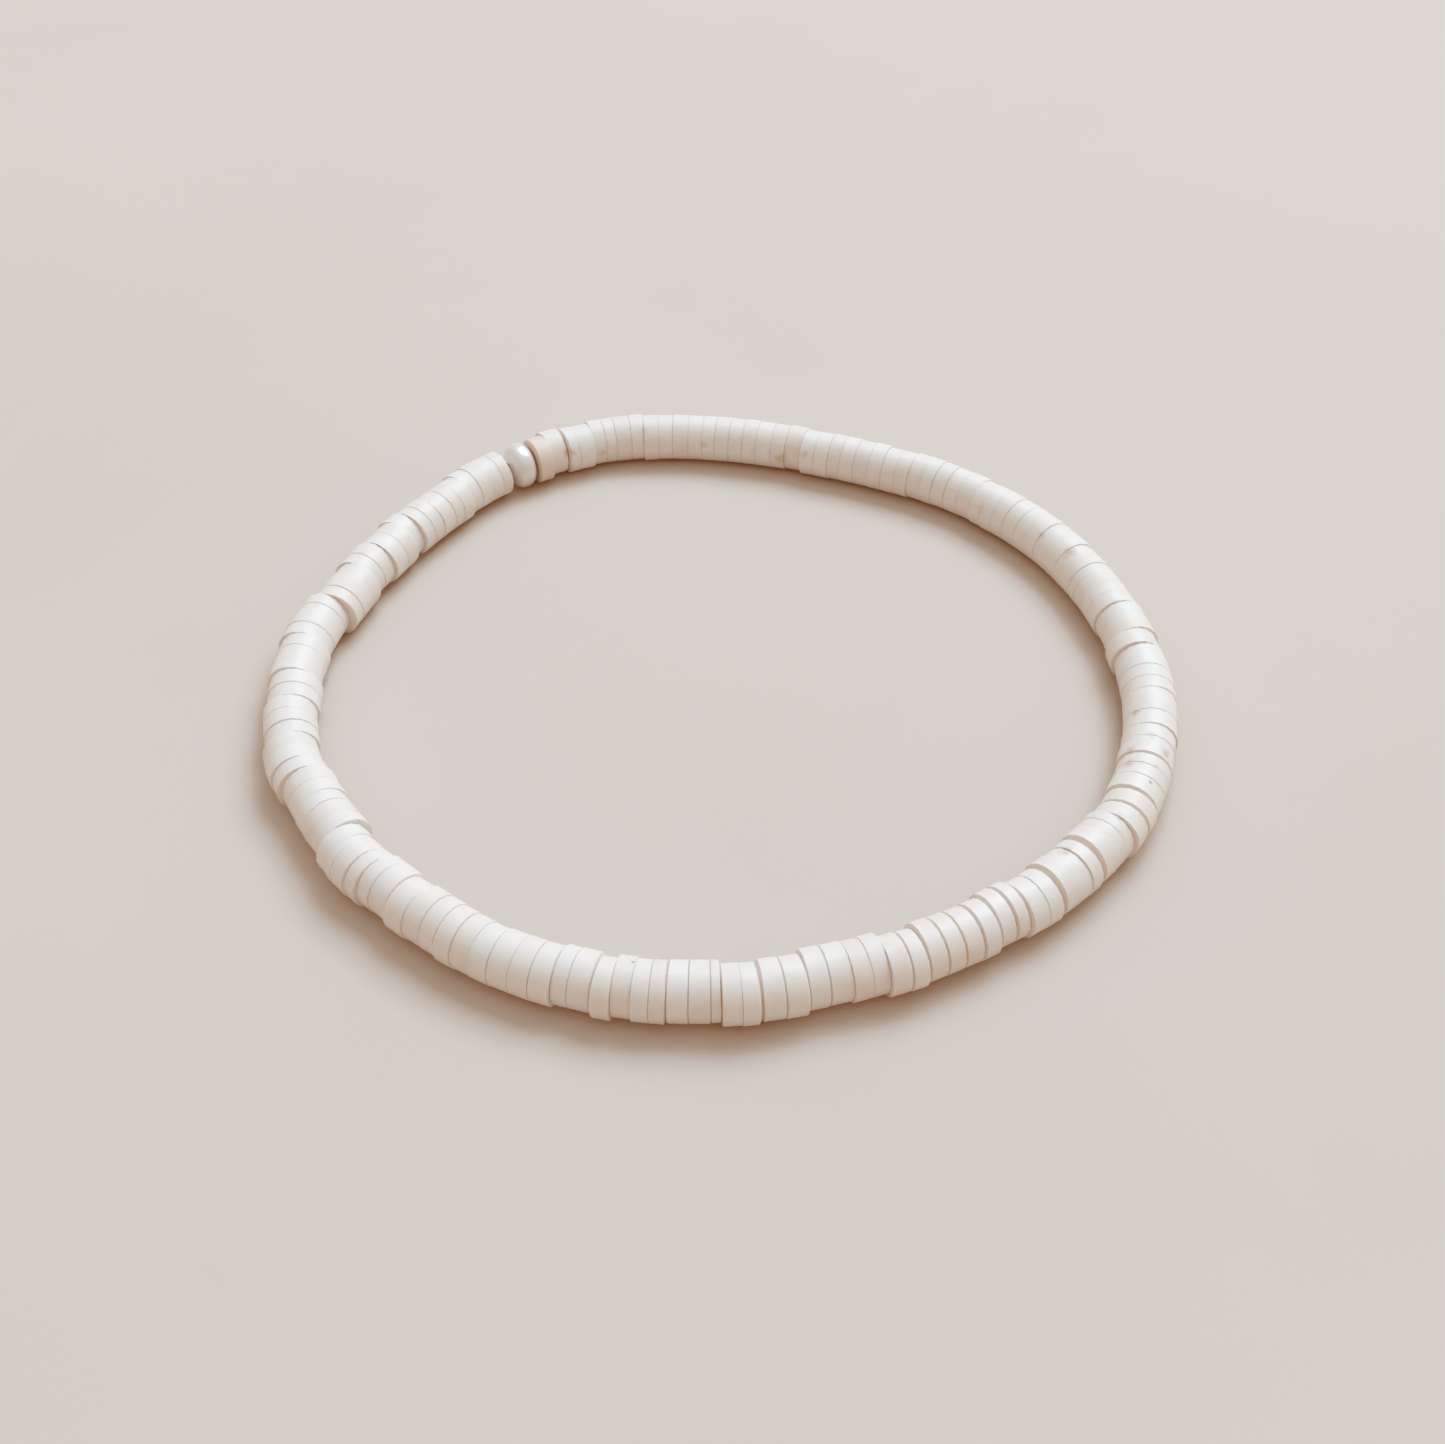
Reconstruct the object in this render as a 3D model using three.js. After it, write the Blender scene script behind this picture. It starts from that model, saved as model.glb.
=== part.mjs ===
// A stretch bracelet of heishi: thin flat discs strung face to face on an elastic cord, with one
// round glossy bead over the cord's knot. It is a closed loop that lies flat on a surface.
// Millimetres, +Z up. The surface is at Z = 0, and the middle of the loop's outline is at the origin.

import * as THREE from "three";

// The loop: the space that it leaves for the wrist, from disc to disc across the middle
const wrist_opening = 60.5;

// How the slack loop departs from a circle. Each row swells it evenly so many times on the way
// round, by a share of its radius, with one swell at a bearing in degrees, anticlockwise from +X.
const loop_swells = [
  { swells: 2, share: 0.01, bearing: -21 },
  { swells: 3, share: 0.016, bearing: -8 },
  { swells: 4, share: 0.008, bearing: 18 },
  { swells: 5, share: 0.013, bearing: -30 },
];

// The discs. Their bottoms are flat facets, so a disc is its full diameter across opposite facets.
const disc_diameter = 4.05;
const disc_thickness = 1.215;
const disc_sides = 12;

// What cutting and stringing leave: the share by which discs differ in diameter and in thickness,
// the degrees by which they sit out of square, and the least space between two neighbours
const disc_scatter = 0.015;
const turn_scatter = 0.7;
const seam_clearance = 0.04;

// The elastic cord, which fills the holes of the discs
const cord_diameter = 0.8;
const cord_sides = 6;

// The bead over the knot, its bearing on the loop, and its spaces to the cord and to the discs
const knot_bead_diameter = 4;
const knot_bead_length = 2.4;
const knot_bead_sides = 14;
const knot_bead_steps = 8;
const knot_bead_fullness = 2.6;
const knot_bead_bearing = 123;
const knot_bead_bore_clearance = 0.25;
const knot_bead_end_clearance = 0.3;

// Thickness of a disc of each grade, as a share of disc_thickness: sliver, narrow, light, medium,
// heavy and wide
const disc_grades = { S: 0.42, N: 0.78, L: 0.9, M: 1, H: 1.1, W: 1.22 };

// The discs in their order on the cord, anticlockwise from the knot bead: down the left side, along
// the front, up the right side and along the back. Discs that lie in line with each other make one
// run. out is how far a run stands out from the loop's line, as a share of disc_diameter, and turn
// is how far its discs are turned anticlockwise from square to the cord, in degrees.
const disc_runs = [
  { discs: "WMMM", out: 0, turn: 0 },
  { discs: "MLW", out: -0.07, turn: 1 },
  { discs: "MM", out: -0.05, turn: 0 },
  { discs: "H", out: 0.03, turn: 1 },
  { discs: "HW", out: -0.06, turn: 0 },
  { discs: "WM", out: 0.01, turn: 0 },
  { discs: "HHL", out: -0.08, turn: 1 },
  { discs: "HLLL", out: 0.07, turn: 0 },
  { discs: "MMW", out: 0.01, turn: -1 },
  { discs: "HH", out: -0.05, turn: 0 },
  { discs: "HMM", out: 0, turn: -1 },
  { discs: "MHL", out: 0.06, turn: 0 },
  { discs: "HM", out: -0.05, turn: 0 },
  { discs: "MHML", out: -0.03, turn: 0.5 },
  { discs: "SMN", out: 0.07, turn: -1.5 },
  { discs: "LW", out: -0.04, turn: 0 },
  { discs: "WHM", out: -0.03, turn: 1 },
  { discs: "MMM", out: 0.01, turn: 0 },
  { discs: "HMM", out: 0.03, turn: 0 },
  { discs: "NH", out: -0.04, turn: -1 },
  { discs: "L", out: 0.04, turn: -1 },
  { discs: "L", out: -0.04, turn: 0 },
  { discs: "NN", out: 0, turn: 0 },
  { discs: "MMS", out: -0.03, turn: -1 },
  { discs: "LL", out: 0.06, turn: 0 },
  { discs: "HH", out: 0.02, turn: 1 },
  { discs: "MHLN", out: -0.06, turn: 0 },
  { discs: "WN", out: 0.05, turn: -1 },
  { discs: "MMMM", out: 0.02, turn: 1 },
  { discs: "MN", out: -0.05, turn: 0 },
  { discs: "HM", out: 0.02, turn: 0 },
  { discs: "HLM", out: -0.02, turn: 1 },
  { discs: "WNN", out: -0.04, turn: -1 },
  { discs: "HW", out: 0.03, turn: 1 },
  { discs: "WMN", out: 0, turn: 0 },
  { discs: "MSM", out: -0.02, turn: 1 },
  { discs: "WNH", out: 0, turn: 0 },
  { discs: "MMHN", out: 0.01, turn: 0 },
  { discs: "W", out: -0.05, turn: 0 },
  { discs: "LNN", out: 0, turn: 1 },
  { discs: "MMHMML", out: -0.05, turn: 0 },
  { discs: "WLMMHMML", out: -0.04, turn: 0 },
  { discs: "WMMLM", out: 0.01, turn: 0 },
  { discs: "LMMHML", out: -0.03, turn: 1 },
  { discs: "MM", out: -0.05, turn: 0 },
  { discs: "W", out: 0.03, turn: -1 },
  { discs: "MHMMMLMHMM", out: -0.01, turn: 0 },
  { discs: "LHML", out: 0.04, turn: 0 },
  { discs: "HM", out: -0.05, turn: 1 },
  { discs: "N", out: 0.04, turn: -1 },
  { discs: "L", out: -0.08, turn: 0 },
];

// The loop's line: the middle of the cord, at half a disc's diameter outside the wrist opening
class LoopLine extends THREE.Curve {
  getPoint(t, target = new THREE.Vector3()) {
    const angle = THREE.MathUtils.degToRad(knot_bead_bearing) + 2 * Math.PI * t;
    let radius = (wrist_opening + disc_diameter) / 2;
    for (const { swells, share, bearing } of loop_swells) {
      const phase = swells * (angle - THREE.MathUtils.degToRad(bearing));
      radius += (share * (wrist_opening + disc_diameter) * Math.cos(phase)) / 2;
    }
    return target.set(radius * Math.cos(angle), radius * Math.sin(angle), 0);
  }
}

const loop_line = new LoopLine();
loop_line.arcLengthDivisions = 1440;
const loop_length = loop_line.getLength();

// Direction of travel along the loop at a distance from the knot bead, in radians
function headingAt(distance) {
  const tangent = loop_line.getTangentAt(distance / loop_length);
  return Math.atan2(tangent.y, tangent.x);
}

// A number from -1 to 1, the next in a fixed series, so that the bracelet is always the same
const series_factor = 16807;
const series_length = 2147483647;
let series_value = 421;
function scatter() {
  series_value = (series_value * series_factor) % series_length;
  return (2 * series_value) / series_length - 1;
}

// The smaller angle between two headings, in radians
function angleBetween(first, second) {
  return Math.abs(Math.atan2(Math.sin(second - first), Math.cos(second - first)));
}

// Strings discs in the order of the chart, starting again at its top if there is room, until no
// more fit. Two neighbours come as close as the clearance lets them at the rims that lean together,
// and what room is left at the end is shared out between them.
function stringDiscs() {
  const chart = disc_runs.flatMap(({ discs, out, turn }) =>
    [...discs].map((grade) => ({ grade, out, turn })),
  );
  const room_start = knot_bead_length / 2 + knot_bead_end_clearance;
  const room_end = loop_length - room_start;
  const strung = [];
  let end = room_start;
  let heading_before = headingAt(room_start);
  while (true) {
    const { grade, out, turn } = chart[strung.length % chart.length];
    const thickness = disc_thickness * disc_grades[grade] * (1 + disc_scatter * scatter());
    const diameter = disc_diameter * (1 + disc_scatter * scatter());
    const turned = THREE.MathUtils.degToRad(turn + turn_scatter * scatter());
    const heading = headingAt(end + thickness / 2) + turned;
    const lean = strung.length ? (diameter / 2) * angleBetween(heading_before, heading) : 0;
    const gap = strung.length ? seam_clearance + lean : 0;
    if (end + gap + thickness > room_end) {
      break;
    }
    strung.push({ middle: end + gap + thickness / 2, thickness, diameter, turned, out });
    end += gap + thickness;
    heading_before = heading;
  }
  const slack = (room_end - end) / (strung.length - 1);
  return strung.map((disc, order) => placeDisc(disc, disc.middle + slack * order));
}

// A disc's place: it stands square to the loop's line but for its turn, with its lowest facet on
// the surface, and stands out from the line by its run's share
function placeDisc({ thickness, diameter, turned, out }, distance) {
  const heading = headingAt(distance) + turned;
  const along = new THREE.Vector3(Math.cos(heading), Math.sin(heading), 0);
  const outward = new THREE.Vector3(Math.sin(heading), -Math.cos(heading), 0);
  const centre = loop_line.getPointAt(distance / loop_length);
  centre.addScaledVector(outward, out * disc_diameter).setZ(diameter / 2);
  const entry = centre.clone().addScaledVector(along, -thickness / 2);
  const exit = centre.clone().addScaledVector(along, thickness / 2);
  return { heading, along, outward, diameter, entry, exit };
}

// Corners of an upright polygon round a centre, with a flat facet at the bottom and a given size
// across its facets, listed from below towards the outside of the loop
function polygon(centre, outward, across, sides) {
  const corner_radius = across / 2 / Math.cos(Math.PI / sides);
  return Array.from({ length: sides }, (_, corner) => {
    const angle = -Math.PI / 2 + (2 * Math.PI * (corner + 0.5)) / sides;
    const point = centre.clone().addScaledVector(outward, corner_radius * Math.cos(angle));
    return point.setZ(centre.z + corner_radius * Math.sin(angle));
  });
}

// Where the cord crosses a disc's face on its way to the facing disc: half way between the two
// middles, moved along the cord onto the face
function cordCrossing(face, along, facing) {
  const half_way = face.clone().lerp(facing, 0.5);
  return half_way.addScaledVector(along, -half_way.clone().sub(face).dot(along));
}

// One closed surface through a ring of polygons, the last of which joins the first. Between two
// polygons a triangle always goes to the one whose next corner comes first on the way round.
function ringSurface(polygons) {
  const starts = [];
  const corners = [];
  for (const points of polygons) {
    starts.push(corners.length);
    corners.push(...points);
  }
  const triangles = [];
  polygons.forEach((near, index) => {
    const next = (index + 1) % polygons.length;
    const far = polygons[next];
    const near_corner = (corner) => starts[index] + (corner % near.length);
    const far_corner = (corner) => starts[next] + (corner % far.length);
    let i = 0;
    let j = 0;
    while (i < near.length || j < far.length) {
      const triangle = [near_corner(i), far_corner(j)];
      if (j === far.length || (i + 1) * far.length < (j + 1) * near.length) {
        i += 1;
        triangle.push(near_corner(i));
      } else {
        j += 1;
        triangle.push(far_corner(j));
      }
      triangles.push(...triangle);
    }
  });
  const surface = new THREE.BufferGeometry().setFromPoints(corners).setIndex(triangles);
  surface.computeVertexNormals();
  return surface;
}

// The string: discs joined by the cord, which goes on from the last disc to the first, through
// the knot bead
function beadString(discs) {
  const polygons = discs.flatMap((disc, order) => {
    const before = discs.at(order - 1);
    const after = discs[(order + 1) % discs.length];
    const cord_in = cordCrossing(disc.entry, disc.along, before.exit);
    const cord_out = cordCrossing(disc.exit, disc.along, after.entry);
    return [
      polygon(cord_in, disc.outward, cord_diameter, cord_sides),
      polygon(disc.entry, disc.outward, disc.diameter, disc_sides),
      polygon(disc.exit, disc.outward, disc.diameter, disc_sides),
      polygon(cord_out, disc.outward, cord_diameter, cord_sides),
    ];
  });
  const clay = new THREE.MeshStandardMaterial({ color: 0xe9e6e2, roughness: 0.72, metalness: 0 });
  const mesh = new THREE.Mesh(ringSurface(polygons), clay);
  mesh.name = "bead_string";
  return mesh;
}

// The knot bead: a full round bead with the cord's way through it. Its outline is a rounded
// barrel, radius over length following (1 - x^n)^(1/n), closed along the bore.
function knotBead(first, last) {
  const bore_radius = cord_diameter / 2 / Math.cos(Math.PI / cord_sides) + knot_bead_bore_clearance;
  const corner_radius = knot_bead_diameter / 2 / Math.cos(Math.PI / knot_bead_sides);
  const mouth = 1 - (bore_radius / corner_radius) ** knot_bead_fullness;
  const mouth_share = mouth ** (1 / knot_bead_fullness);
  const profile = Array.from({ length: knot_bead_steps + 1 }, (_, step) => {
    const share = mouth_share * Math.sin(Math.PI * (step / knot_bead_steps - 0.5));
    const full = (1 - Math.abs(share) ** knot_bead_fullness) ** (1 / knot_bead_fullness);
    return new THREE.Vector2(corner_radius * full, (share * knot_bead_length) / 2);
  });
  profile.push(profile[0].clone());
  const facet_turn = Math.PI / knot_bead_sides;
  const shape = new THREE.LatheGeometry(profile, knot_bead_sides, facet_turn);
  const glaze = new THREE.MeshStandardMaterial({ color: 0xf1efec, roughness: 0.15, metalness: 0 });
  const mesh = new THREE.Mesh(shape, glaze);
  mesh.name = "knot_bead";
  mesh.position.copy(last.exit).lerp(first.entry, 0.5);
  const cord = first.entry.clone().sub(last.exit);
  mesh.rotation.z = Math.atan2(cord.y, cord.x) - Math.PI / 2;
  return mesh;
}

const discs = stringDiscs();
const loop = new THREE.Group();
loop.add(beadString(discs), knotBead(discs[0], discs.at(-1)));

const outline = new THREE.Box3().setFromObject(loop);
const outline_middle = outline.getCenter(new THREE.Vector3());
loop.position.set(-outline_middle.x, -outline_middle.y, 0);

const bracelet = new THREE.Group();
bracelet.add(loop);

export default bracelet;
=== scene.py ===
"""Looks of a heishi bracelet: the clay discs, the elastic cord that they are strung on, the pearly bead
over the cord's knot, and the pale surface, light and camera round them."""

import math

import bpy
import numpy as np
from bpy.props import FloatProperty, FloatVectorProperty, IntProperty, PointerProperty
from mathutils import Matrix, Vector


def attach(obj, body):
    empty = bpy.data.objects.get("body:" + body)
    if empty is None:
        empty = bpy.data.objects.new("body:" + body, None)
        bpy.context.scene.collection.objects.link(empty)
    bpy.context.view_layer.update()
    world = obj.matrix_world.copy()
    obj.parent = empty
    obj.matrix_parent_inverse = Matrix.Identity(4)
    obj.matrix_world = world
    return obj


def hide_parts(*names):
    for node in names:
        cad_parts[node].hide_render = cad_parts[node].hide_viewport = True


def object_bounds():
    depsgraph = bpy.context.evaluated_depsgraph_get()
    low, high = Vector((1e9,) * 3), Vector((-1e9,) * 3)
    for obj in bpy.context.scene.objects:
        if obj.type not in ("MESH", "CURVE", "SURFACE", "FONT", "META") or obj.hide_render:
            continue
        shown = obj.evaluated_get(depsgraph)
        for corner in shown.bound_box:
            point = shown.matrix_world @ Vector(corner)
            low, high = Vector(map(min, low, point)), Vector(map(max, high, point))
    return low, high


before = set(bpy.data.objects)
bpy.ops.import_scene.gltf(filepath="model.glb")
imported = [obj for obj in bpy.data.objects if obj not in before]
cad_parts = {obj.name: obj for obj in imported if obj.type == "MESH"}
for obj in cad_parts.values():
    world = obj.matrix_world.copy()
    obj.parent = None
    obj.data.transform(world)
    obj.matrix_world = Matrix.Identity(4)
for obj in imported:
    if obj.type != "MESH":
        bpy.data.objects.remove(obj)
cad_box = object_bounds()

bl_info = {
    "name": "Heishi bracelet",
    "version": (1, 0, 0),
    "blender": (4, 5, 0),
    "location": "3D View > Sidebar > Bracelet",
    "description": "Strings clay discs on an elastic cord, closed by a pearly bead",
    "category": "Add Mesh",
}

MM = 0.001
TURN = 2 * math.pi

# How the slack loop departs from a circle: swells on the way round, each with its share of the
# radius and the bearing of one swell in degrees, anticlockwise from +X
LOOP_SWELLS = ((2, 0.01, -21), (3, 0.016, -8), (4, 0.008, 18), (5, 0.013, -30))
# Steps in which the loop's length is measured
LINE_STEPS = 1440

# Thickness of a disc of each grade, as a share of the usual thickness
DISC_GRADES = {"S": 0.42, "N": 0.78, "L": 0.9, "M": 1, "H": 1.1, "W": 1.22}
# What cutting and stringing leave: the share by which discs differ in diameter and in thickness,
# the degrees by which they sit out of square, and the least space between two neighbours
DISC_SCATTER = 0.015
TURN_SCATTER = 0.7
SEAM_CLEARANCE = 0.04 * MM

# Discs that lie in line with each other, in their order on the cord, anticlockwise from the knot
# bead: their grades, how far they stand out from the cord's line as a share of their diameter,
# and how far they are turned from square to the cord, in degrees
DISC_RUNS = (
    ("WMMM", 0, 0), ("MLW", -0.07, 1), ("MM", -0.05, 0), ("H", 0.03, 1), ("HW", -0.06, 0),
    ("WM", 0.01, 0), ("HHL", -0.08, 1), ("HLLL", 0.07, 0), ("MMW", 0.01, -1), ("HH", -0.05, 0),
    ("HMM", 0, -1), ("MHL", 0.06, 0), ("HM", -0.05, 0), ("MHML", -0.03, 0.5),
    ("SMN", 0.07, -1.5), ("LW", -0.04, 0), ("WHM", -0.03, 1), ("MMM", 0.01, 0), ("HMM", 0.03, 0),
    ("NH", -0.04, -1), ("L", 0.04, -1), ("L", -0.04, 0), ("NN", 0, 0), ("MMS", -0.03, -1),
    ("LL", 0.06, 0), ("HH", 0.02, 1), ("MHLN", -0.06, 0), ("WN", 0.05, -1), ("MMMM", 0.02, 1),
    ("MN", -0.05, 0), ("HM", 0.02, 0), ("HLM", -0.02, 1), ("WNN", -0.04, -1), ("HW", 0.03, 1),
    ("WMN", 0, 0), ("MSM", -0.02, 1), ("WNH", 0, 0), ("MMHN", 0.01, 0), ("W", -0.05, 0),
    ("LNN", 0, 1), ("MMHMML", -0.05, 0), ("WLMMHMML", -0.04, 0), ("WMMLM", 0.01, 0),
    ("LMMHML", -0.03, 1), ("MM", -0.05, 0), ("W", 0.03, -1), ("MHMMMLMHMM", -0.01, 0),
    ("LHML", 0.04, 0), ("HM", -0.05, 1), ("N", 0.04, -1), ("L", -0.08, 0),
)

# Seams that stand open, by the number of the disc before: the width of the groove between the two
# rims in millimetres. All others are closed but for a hair.
OPEN_SEAMS = {
    6: 0.07, 8: 0.03, 15: 0.07, 16: 0.03, 20: 0.1, 23: 0.17, 25: 0.09, 28: 0.05, 32: 0.06, 34: 0.12,
    36: 0.05, 38: 0.05, 40: 0.05, 41: 0.03, 42: 0.16, 43: 0.05, 45: 0.14, 46: 0.06, 48: 0.06,
    49: 0.05, 50: 0.08, 51: 0.09, 52: 0.07, 53: 0.17, 54: 0.05, 56: 0.06, 57: 0.18, 58: 0.09,
    59: 0.1, 60: 0.13, 62: 0.3, 63: 0.14, 64: 0.18, 65: 0.13, 66: 0.04, 67: 0.04, 68: 0.04, 69: 0.2,
    70: 0.22, 71: 0.2, 72: 0.2, 73: 0.22, 74: 0.3, 75: 0.24, 76: 0.2, 77: 0.04, 78: 0.46, 80: 0.05,
    81: 0.56, 84: 0.1, 85: 0.34, 86: 0.28, 87: 0.18, 89: 0.2, 91: 0.05, 92: 0.07, 95: 0.05,
    96: 0.05, 98: 0.03, 100: 0.18, 103: 0.05, 109: 0.06, 128: 0.04, 145: 0.08, 147: 0.28, 148: 0.08,
}
# Stretches of seams that have moved along the cord: the first, the last and how far, in
# millimetres. Seam -1 and the last are the faces at the bead.
MOVED_SEAMS = (
    (-1, -1, 0.45), (8, 9, -0.12), (15, 16, 0.3), (20, 22, 0.18), (23, 25, 0.1), (34, 36, -0.15),
    (38, 40, 0.1), (54, 56, -0.08), (57, 61, -0.16), (62, 64, -0.21), (65, 67, -0.14),
    (69, 69, -0.18), (70, 72, -0.09), (74, 76, 0.08), (84, 87, -0.16), (88, 90, -0.3),
    (91, 99, -0.38), (100, 102, -0.28), (103, 103, -0.1), (107, 110, -0.35), (144, 146, -0.35),
    (147, 147, -0.6), (148, 148, 0.05), (149, 149, 0.3),
)
# The usual groove of a closed seam in millimetres, the least and the most of that which a seam has,
# how deep a groove is for its width, and how much is broken off the edges of a rim
CLOSED_SEAM = 0.018
CLOSED_SEAM_SPAN = (0.5, 1.5)
GROOVE_DEPTH = 0.9
ARRIS = 0.014 * MM
# How much of the lean between two facing faces is left in a run, and where two runs meet
LEAN_IN_RUN = 0.04
LEAN_BETWEEN_RUNS = 0.15

# Discs that have slid out of the loop, or into it where below 0, by number, in millimetres
SLID_DISCS = {
    31: -0.15, 37: 0.42, 38: 0.12, 39: 0.1, 41: 0.2, 42: 0.14, 43: 0.3, 44: 0.15, 45: 0.15,
    46: 0.14, 47: 0.1, 48: 0.15, 61: -0.03, 67: 0.15, 68: 0.12, 69: 0.08, 70: 0.12,
}

# How discs differ from each other: the waves round a rim, by number and by share of the radius, the
# least of a wave that a disc has, the usual nod in degrees, and how much of the height that a disc
# leaves free it may be lifted by
RIM_WAVES = ((2, 0.006), (3, 0.004), (5, 0.002))
LEAST_WAVE = 0.2
NOD_SCATTER = 0.12
LIFT_SHARE = 0.3
RANDOM_SEED = 7

# How warm discs are: the usual share of warm clay, how far it differs, the most that it may be, and
# the share of the last disc, beside the pearly bead, which is painted shade
WARMTH = 0.06
WARMTH_SCATTER = 0.07
WARMTH_MOST = 0.3
LAST_DISC_PAINTED_SHADE = 0.7
# How strongly the faces in a groove are painted with warm shade: at no width, and more for each
# millimetre of it
LEAST_GROOVE_SHADE = 0.3
GROOVE_SHADE_FOR_WIDTH = 0.8

# Marks on single discs: the kind, the place and the radius, in millimetres
MARKS = (
    ("fleck", (-5.45, -31.31, 3.93), 0.2), ("fleck", (-24.81, -18.53, 3.54), 0.24),
    ("fleck", (31.11, -13.26, 3.9), 0.2), ("fleck", (30.33, -15, 3.9), 0.22),
    ("stain", (29.66, -11.32, 3.58), 0.5), ("stain", (23.32, -21.71, 3.99), 0.7),
    ("stain", (29.15, -12.78, 3.63), 0.6), ("smudge", (27.49, -18.48, 4.04), 0.6),
    ("smudge", (31.35, -10.34, 4.05), 0.55), ("stain", (32.13, -11.71, 3.67), 0.6),
    ("stain", (30.77, -7.3, 3.58), 0.55), ("stain", (28.7, 12.21, 3.75), 0.9),
    ("smudge", (26.87, 15.05, 3.54), 0.55), ("stain", (5.44, 28.77, 1.98), 0.8),
    ("smudge", (7.54, 28.09, 2.8), 0.6), ("smudge", (-1.71, 30.22, 2.53), 0.5),
    ("smudge", (-7, 30.87, 3.58), 0.6), ("stain", (-13.68, 28.24, 2.86), 0.7),
    ("stain", (-10.77, 29.46, 1.91), 0.6),
)
# How strongly each kind of mark covers the clay
MARK_STRENGTHS = {"fleck": 0.8, "stain": 0.5, "smudge": 0.35}

# Corners of the solid discs, whose outline sets where the middle of the loop is
SOLID_SIDES = 12

# The bead over the knot: its bearing on the loop in degrees, its spaces to the discs, to the cord and
# to the surface, and how full its outline is, from 2 for an ellipse upwards
KNOT_BEAD_BEARING = 123
KNOT_BEAD_END_CLEARANCE = 0.3 * MM
KNOT_BEAD_BORE_CLEARANCE = 0.25 * MM
KNOT_BEAD_LIFT = 0.02 * MM
KNOT_BEAD_FULLNESS = 2.6

# The camera: the photograph's width and the focal length in pixels, the sensor's width in
# millimetres, the camera's place, and how many degrees it looks down
PHOTO_WIDTH = 1445
FOCAL_PIXELS = 1660
SENSOR_WIDTH = 36
CAMERA_PLACE = (0.18 * MM, -98.5 * MM, 85.73 * MM)
CAMERA_DIP = 42.36
NEAREST_SEEN = 0.01

# Half the surface's width, and the main light's two sides and place, in metres
FLOOR_REACH = 3.0
WINDOW_SIZE = (1.2, 1.0)
WINDOW_PLACE = (0.55, 0.85, 1.38)

# How the picture is developed: warm shadows, as pairs of light in and out for green and for blue
GREEN_CURVE = (
    (0.1, 0.055), (0.212, 0.15), (0.305, 0.258), (0.413, 0.365), (0.49, 0.468), (0.6, 0.592))
BLUE_CURVE = (
    (0.1, 0.035), (0.178, 0.098), (0.262, 0.19), (0.356, 0.29), (0.44, 0.405), (0.55, 0.535))


# Sizes and colours

class HeishiDiscSettings(bpy.types.PropertyGroup):
    """Sizes and colours of the clay discs"""

    wrist_opening: FloatProperty(
        name="Wrist opening", description="Space that the loop leaves for the wrist, disc to disc",
        default=60.5 * MM, min=40 * MM, max=90 * MM, subtype="DISTANCE", unit="LENGTH", precision=5)
    diameter: FloatProperty(
        name="Disc diameter", description="Diameter of a clay disc",
        default=4.05 * MM, min=2 * MM, max=10 * MM, subtype="DISTANCE", unit="LENGTH", precision=5)
    thickness: FloatProperty(
        name="Disc thickness", description="Usual thickness of a clay disc",
        default=1.215 * MM, min=0.3 * MM, max=4 * MM, subtype="DISTANCE", unit="LENGTH", precision=6)
    rounding: FloatProperty(
        name="Rim rounding", description="How far the faces beside the pearly bead are rounded off",
        default=0.08 * MM, min=0, max=0.3 * MM, subtype="DISTANCE", unit="LENGTH", precision=6)
    seam: FloatProperty(
        name="Seam", description="Space left between the faces of two discs that touch",
        default=0.004 * MM, min=0, max=0.3 * MM, subtype="DISTANCE", unit="LENGTH", precision=6)
    bore: FloatProperty(
        name="Disc hole", description="Diameter of the hole through a disc",
        default=1.1 * MM, min=0.5 * MM, max=2 * MM, subtype="DISTANCE", unit="LENGTH", precision=6)
    around: IntProperty(
        name="Corners", description="Corners round a disc", default=18, min=8, max=64)
    clay: FloatVectorProperty(
        name="Clay", description="Colour of clean clay",
        default=(0.83, 0.8, 0.775), min=0, max=1, size=3, subtype="COLOR")
    # Both yellowed clay and painted shade: the faces in the grooves and the last disc are painted with
    # this colour as shade
    warm_clay_and_shade: FloatVectorProperty(
        name="Warm clay", description="Colour of the clay where it is yellowed or rubbed",
        default=(0.76, 0.66, 0.58), min=0, max=1, size=3, subtype="COLOR")
    fleck: FloatVectorProperty(
        name="Fleck", description="Colour of the specks in the clay",
        default=(0.22, 0.19, 0.17), min=0, max=1, size=3, subtype="COLOR")
    stain: FloatVectorProperty(
        name="Stain", description="Colour of the brown stains on single discs",
        default=(0.5, 0.35, 0.28), min=0, max=1, size=3, subtype="COLOR")
    smudge: FloatVectorProperty(
        name="Smudge", description="Colour of the grey smudges on single discs",
        default=(0.45, 0.42, 0.41), min=0, max=1, size=3, subtype="COLOR")


class ElasticCordSettings(bpy.types.PropertyGroup):
    """Size and colour of the elastic cord"""

    diameter: FloatProperty(
        name="Cord diameter", description="Diameter of the elastic cord",
        default=0.8 * MM, min=0.3 * MM, max=1.5 * MM, subtype="DISTANCE", unit="LENGTH", precision=6)
    around: IntProperty(
        name="Corners", description="Corners round the cord", default=8, min=6, max=24)
    colour: FloatVectorProperty(
        name="Elastic", description="Colour of the elastic cord",
        default=(0.62, 0.5, 0.42), min=0, max=1, size=3, subtype="COLOR")


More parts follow.
